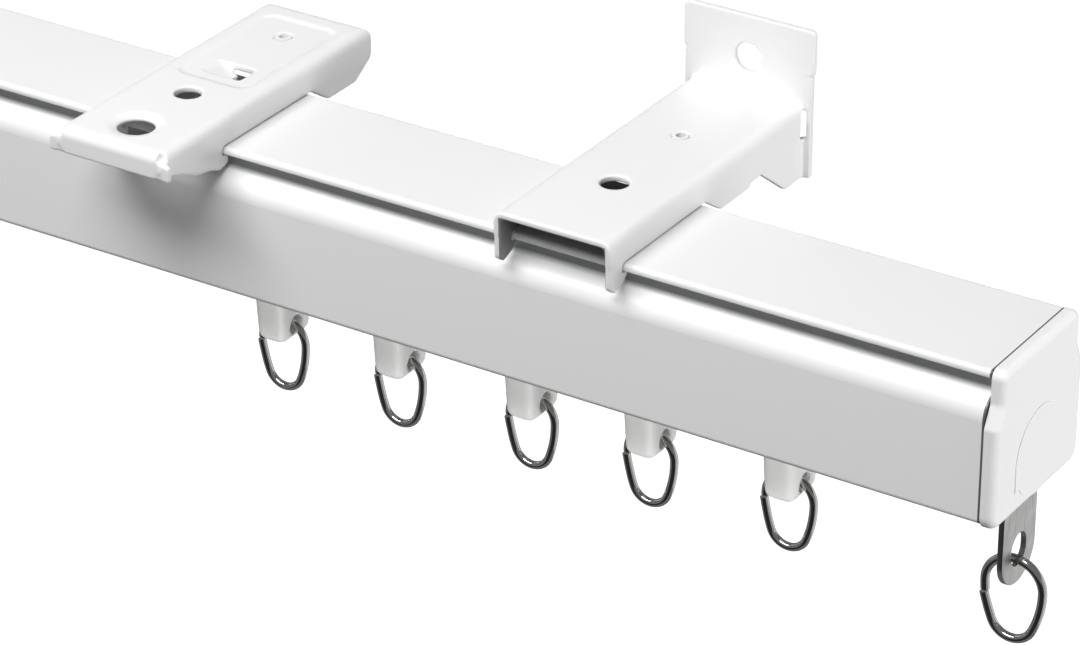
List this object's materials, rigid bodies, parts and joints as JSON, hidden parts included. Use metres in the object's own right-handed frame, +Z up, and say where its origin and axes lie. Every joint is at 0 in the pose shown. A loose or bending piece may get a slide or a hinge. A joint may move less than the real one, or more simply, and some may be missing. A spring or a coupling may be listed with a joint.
{
  "type": "curtain track",
  "caption": "White extruded curtain track with wheeled gliders on split rings, an end stop ring, end caps, a wall bracket and a ceiling bracket.",
  "frame": {"origin": "middle of the wall bracket's screw hole, on the plate's back face, which lies on the wall", "axes": "+X along the rail towards the end stop, -Y out of the wall into the room, +Z up"},
  "size_m": [0.268, 0.0742, 0.072],
  "materials": {
    "rail_coat": "white powder coat, satin",
    "cap_plastic": "moulded white plastic, soft gloss",
    "bracket_coat": "white powder coat on pressed steel",
    "glider_nylon": "moulded natural white nylon",
    "wheel_nylon": "moulded white nylon",
    "ring_steel": "bright nickel-plated steel wire",
    "strip_steel": "plain rolled steel",
    "lever_steel": "zinc-plated steel",
    "rivet_steel": "zinc-plated steel",
    "axle_steel": "zinc-plated steel"
  },
  "bodies": {
    "track": {"rail": "rail_coat", "end_cap_right": "cap_plastic", "end_cap_left": "cap_plastic", "end_stop_strip": "strip_steel", "ceiling_bracket_shell": "bracket_coat", "ceiling_bracket_rivet": "rivet_steel", "wall_bracket_shell": "bracket_coat", "wall_bracket_rivet": "rivet_steel"},
    "ceiling_lever": {"ceiling_bracket_lever": "lever_steel"},
    "wall_lever": {"wall_bracket_lever": "lever_steel"},
    "end_ring": {"end_stop_ring": "ring_steel"},
    "glider_1": {"glider_1_body": "glider_nylon", "glider_1_axle": "axle_steel"},
    "glider_1_front_wheel": {"glider_1_wheel_front": "wheel_nylon"},
    "glider_1_back_wheel": {"glider_1_wheel_back": "wheel_nylon"},
    "glider_1_hook_ring": {"glider_1_ring": "ring_steel"},
    "glider_2": {"glider_2_body": "glider_nylon", "glider_2_axle": "axle_steel"},
    "glider_2_front_wheel": {"glider_2_wheel_front": "wheel_nylon"},
    "glider_2_back_wheel": {"glider_2_wheel_back": "wheel_nylon"},
    "glider_2_hook_ring": {"glider_2_ring": "ring_steel"},
    "glider_3": {"glider_3_body": "glider_nylon", "glider_3_axle": "axle_steel"},
    "glider_3_front_wheel": {"glider_3_wheel_front": "wheel_nylon"},
    "glider_3_back_wheel": {"glider_3_wheel_back": "wheel_nylon"},
    "glider_3_hook_ring": {"glider_3_ring": "ring_steel"},
    "glider_4": {"glider_4_body": "glider_nylon", "glider_4_axle": "axle_steel"},
    "glider_4_front_wheel": {"glider_4_wheel_front": "wheel_nylon"},
    "glider_4_back_wheel": {"glider_4_wheel_back": "wheel_nylon"},
    "glider_4_hook_ring": {"glider_4_ring": "ring_steel"},
    "glider_5": {"glider_5_body": "glider_nylon", "glider_5_axle": "axle_steel"},
    "glider_5_front_wheel": {"glider_5_wheel_front": "wheel_nylon"},
    "glider_5_back_wheel": {"glider_5_wheel_back": "wheel_nylon"},
    "glider_5_hook_ring": {"glider_5_ring": "ring_steel"}
  },
  "joints": [
    {"name": "ceiling_lever_turn", "type": "hinge", "parent": "track", "child": "ceiling_lever", "pos_m": [-0.0766, -0.0254, -0.0106], "axis": [0, 0, 1], "range_deg": [0, 90]},
    {"name": "wall_lever_turn", "type": "hinge", "parent": "track", "child": "wall_lever", "pos_m": [0, -0.0226, -0.0106], "axis": [0, 0, 1], "range_deg": [0, 40]},
    {"name": "end_ring_swing", "type": "hinge", "parent": "track", "child": "end_ring", "pos_m": [0.0747, -0.0452, -0.04932], "axis": [1, 0, 0], "range_deg": [-85, 85]},
    {"name": "glider_1_slide", "type": "slide", "parent": "track", "child": "glider_1", "axis": [1, 0, 0], "range_m": [-0.1079, 0.0133]},
    {"name": "glider_1_front_wheel_roll", "type": "hinge", "parent": "glider_1", "child": "glider_1_front_wheel", "pos_m": [-0.0638, -0.0452, -0.0296], "axis": [0, 1, 0], "range_deg": [-1238, 154]},
    {"name": "glider_1_back_wheel_roll", "type": "hinge", "parent": "glider_1", "child": "glider_1_back_wheel", "pos_m": [-0.0638, -0.0452, -0.0296], "axis": [0, 1, 0], "range_deg": [-1238, 154]},
    {"name": "glider_1_ring_swing", "type": "hinge", "parent": "glider_1", "child": "glider_1_hook_ring", "pos_m": [-0.0638, -0.0452, -0.0474], "axis": [1, 0, 0], "range_deg": [-85, 85]},
    {"name": "glider_2_slide", "type": "slide", "parent": "track", "child": "glider_2", "axis": [1, 0, 0], "range_m": [-0.0133, 0.0155]},
    {"name": "glider_2_front_wheel_roll", "type": "hinge", "parent": "glider_2", "child": "glider_2_front_wheel", "pos_m": [-0.04, -0.0452, -0.0296], "axis": [0, 1, 0], "range_deg": [-154, 180]},
    {"name": "glider_2_back_wheel_roll", "type": "hinge", "parent": "glider_2", "child": "glider_2_back_wheel", "pos_m": [-0.04, -0.0452, -0.0296], "axis": [0, 1, 0], "range_deg": [-154, 180]},
    {"name": "glider_2_ring_swing", "type": "hinge", "parent": "glider_2", "child": "glider_2_hook_ring", "pos_m": [-0.04, -0.0452, -0.0474], "axis": [1, 0, 0], "range_deg": [-85, 85]},
    {"name": "glider_3_slide", "type": "slide", "parent": "track", "child": "glider_3", "axis": [1, 0, 0], "range_m": [-0.0155, 0.0123]},
    {"name": "glider_3_front_wheel_roll", "type": "hinge", "parent": "glider_3", "child": "glider_3_front_wheel", "pos_m": [-0.014, -0.0452, -0.0296], "axis": [0, 1, 0], "range_deg": [-180, 143]},
    {"name": "glider_3_back_wheel_roll", "type": "hinge", "parent": "glider_3", "child": "glider_3_back_wheel", "pos_m": [-0.014, -0.0452, -0.0296], "axis": [0, 1, 0], "range_deg": [-180, 143]},
    {"name": "glider_3_ring_swing", "type": "hinge", "parent": "glider_3", "child": "glider_3_hook_ring", "pos_m": [-0.014, -0.0452, -0.0474], "axis": [1, 0, 0], "range_deg": [-85, 85]},
    {"name": "glider_4_slide", "type": "slide", "parent": "track", "child": "glider_4", "axis": [1, 0, 0], "range_m": [-0.0123, 0.0153]},
    {"name": "glider_4_front_wheel_roll", "type": "hinge", "parent": "glider_4", "child": "glider_4_front_wheel", "pos_m": [0.0088, -0.0452, -0.0296], "axis": [0, 1, 0], "range_deg": [-143, 177]},
    {"name": "glider_4_back_wheel_roll", "type": "hinge", "parent": "glider_4", "child": "glider_4_back_wheel", "pos_m": [0.0088, -0.0452, -0.0296], "axis": [0, 1, 0], "range_deg": [-143, 177]},
    {"name": "glider_4_ring_swing", "type": "hinge", "parent": "glider_4", "child": "glider_4_hook_ring", "pos_m": [0.0088, -0.0452, -0.0474], "axis": [1, 0, 0], "range_deg": [-85, 85]},
    {"name": "glider_5_slide", "type": "slide", "parent": "track", "child": "glider_5", "axis": [1, 0, 0], "range_m": [-0.0153, 0.0271]},
    {"name": "glider_5_front_wheel_roll", "type": "hinge", "parent": "glider_5", "child": "glider_5_front_wheel", "pos_m": [0.0346, -0.0452, -0.0296], "axis": [0, 1, 0], "range_deg": [-177, 313]},
    {"name": "glider_5_back_wheel_roll", "type": "hinge", "parent": "glider_5", "child": "glider_5_back_wheel", "pos_m": [0.0346, -0.0452, -0.0296], "axis": [0, 1, 0], "range_deg": [-177, 313]},
    {"name": "glider_5_ring_swing", "type": "hinge", "parent": "glider_5", "child": "glider_5_hook_ring", "pos_m": [0.0346, -0.0452, -0.0474], "axis": [1, 0, 0], "range_deg": [-85, 85]}
  ],
  "couplings": [
    {"joint": "glider_1_front_wheel_roll", "follows": "glider_1_slide", "rad_per_m": 200},
    {"joint": "glider_1_back_wheel_roll", "follows": "glider_1_slide", "rad_per_m": 200},
    {"joint": "glider_2_front_wheel_roll", "follows": "glider_2_slide", "rad_per_m": 200},
    {"joint": "glider_2_back_wheel_roll", "follows": "glider_2_slide", "rad_per_m": 200},
    {"joint": "glider_3_front_wheel_roll", "follows": "glider_3_slide", "rad_per_m": 200},
    {"joint": "glider_3_back_wheel_roll", "follows": "glider_3_slide", "rad_per_m": 200},
    {"joint": "glider_4_front_wheel_roll", "follows": "glider_4_slide", "rad_per_m": 200},
    {"joint": "glider_4_back_wheel_roll", "follows": "glider_4_slide", "rad_per_m": 200},
    {"joint": "glider_5_front_wheel_roll", "follows": "glider_5_slide", "rad_per_m": 200},
    {"joint": "glider_5_back_wheel_roll", "follows": "glider_5_slide", "rad_per_m": 200}
  ]
}
